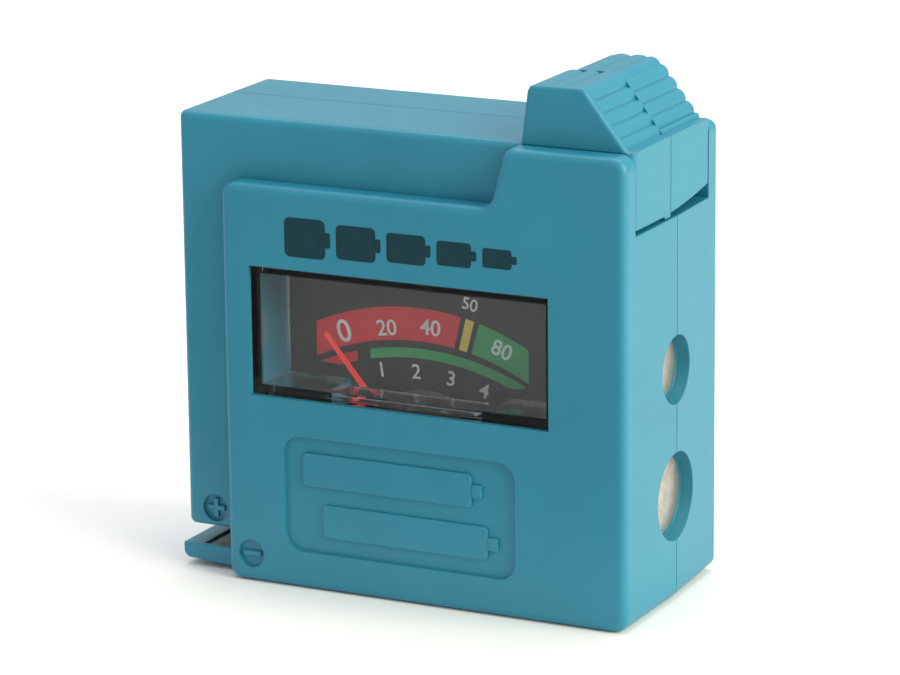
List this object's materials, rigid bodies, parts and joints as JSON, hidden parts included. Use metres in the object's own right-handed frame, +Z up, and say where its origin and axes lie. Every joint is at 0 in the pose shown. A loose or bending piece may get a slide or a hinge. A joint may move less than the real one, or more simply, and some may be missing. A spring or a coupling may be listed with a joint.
{
  "type": "battery tester",
  "caption": "Pocket battery tester with a dial behind a window, a jaw on a two-stage slide with a ribbed thumb grip, and snap contacts in the side.",
  "frame": {"origin": "middle of the bounding box's bottom face, with the slides shut", "axes": "+X right and +Z up as the dial is read, +Y from the window to the back; the snap contacts face +X and the jaws stand out to -X"},
  "size_m": [0.0496, 0.023, 0.052],
  "materials": {
    "case_plastic": "satin moulded ABS, blue-green",
    "clear_plastic": "clear polished",
    "meter_plastic": "moulded, dark grey",
    "dial_print": "printed matt scale",
    "soft_iron": "plain",
    "brass": "plain stamped",
    "spring_bronze": "plain",
    "steel": "zinc plated",
    "copper": "enamelled wire",
    "needle_paint": "painted red",
    "nickel_plate": "satin nickel plate",
    "resistor_body": "lacquered"
  },
  "bodies": {
    "base": {"front_case": "case_plastic", "rear_case": "case_plastic", "case_screws": "steel", "meter_cover": "clear_plastic", "meter_tray": "meter_plastic", "dial_plate": "dial_print", "meter_yoke": "soft_iron", "core_magnet": "soft_iron", "core_spacers": "brass", "front_bridge": "brass", "front_jewel_screw": "brass", "rear_jewel": "brass", "large_snap_contact": "nickel_plate", "small_snap_contact": "nickel_plate", "minus_contact": "nickel_plate", "base_wiper": "brass", "cell_resistor": "resistor_body", "button_resistor": "resistor_body", "nine_volt_resistor": "resistor_body"},
    "carrier": {"rear_slide": "case_plastic", "slide_rail": "brass"},
    "jaw": {"front_slide": "case_plastic", "plus_contact": "brass"},
    "pointer": {"needle": "needle_paint", "pivot_shaft": "steel", "moving_coil": "copper", "balance_weights": "brass", "front_hairspring": "spring_bronze", "rear_hairspring": "spring_bronze"}
  },
  "joints": [
    {"name": "carrier_slide", "type": "slide", "parent": "base", "child": "carrier", "axis": [0, 0, 1], "range_m": [0, 0.029]},
    {"name": "jaw_slide", "type": "slide", "parent": "carrier", "child": "jaw", "axis": [0, 0, 1], "range_m": [0, 0.019]},
    {"name": "needle_turn", "type": "hinge", "parent": "base", "child": "pointer", "pos_m": [0, -0.005, 0.0122], "axis": [0, 1, 0], "range_deg": [0, 79], "stiffness_Nm_per_rad": 0.0001, "springref_deg": -11.46}
  ]
}
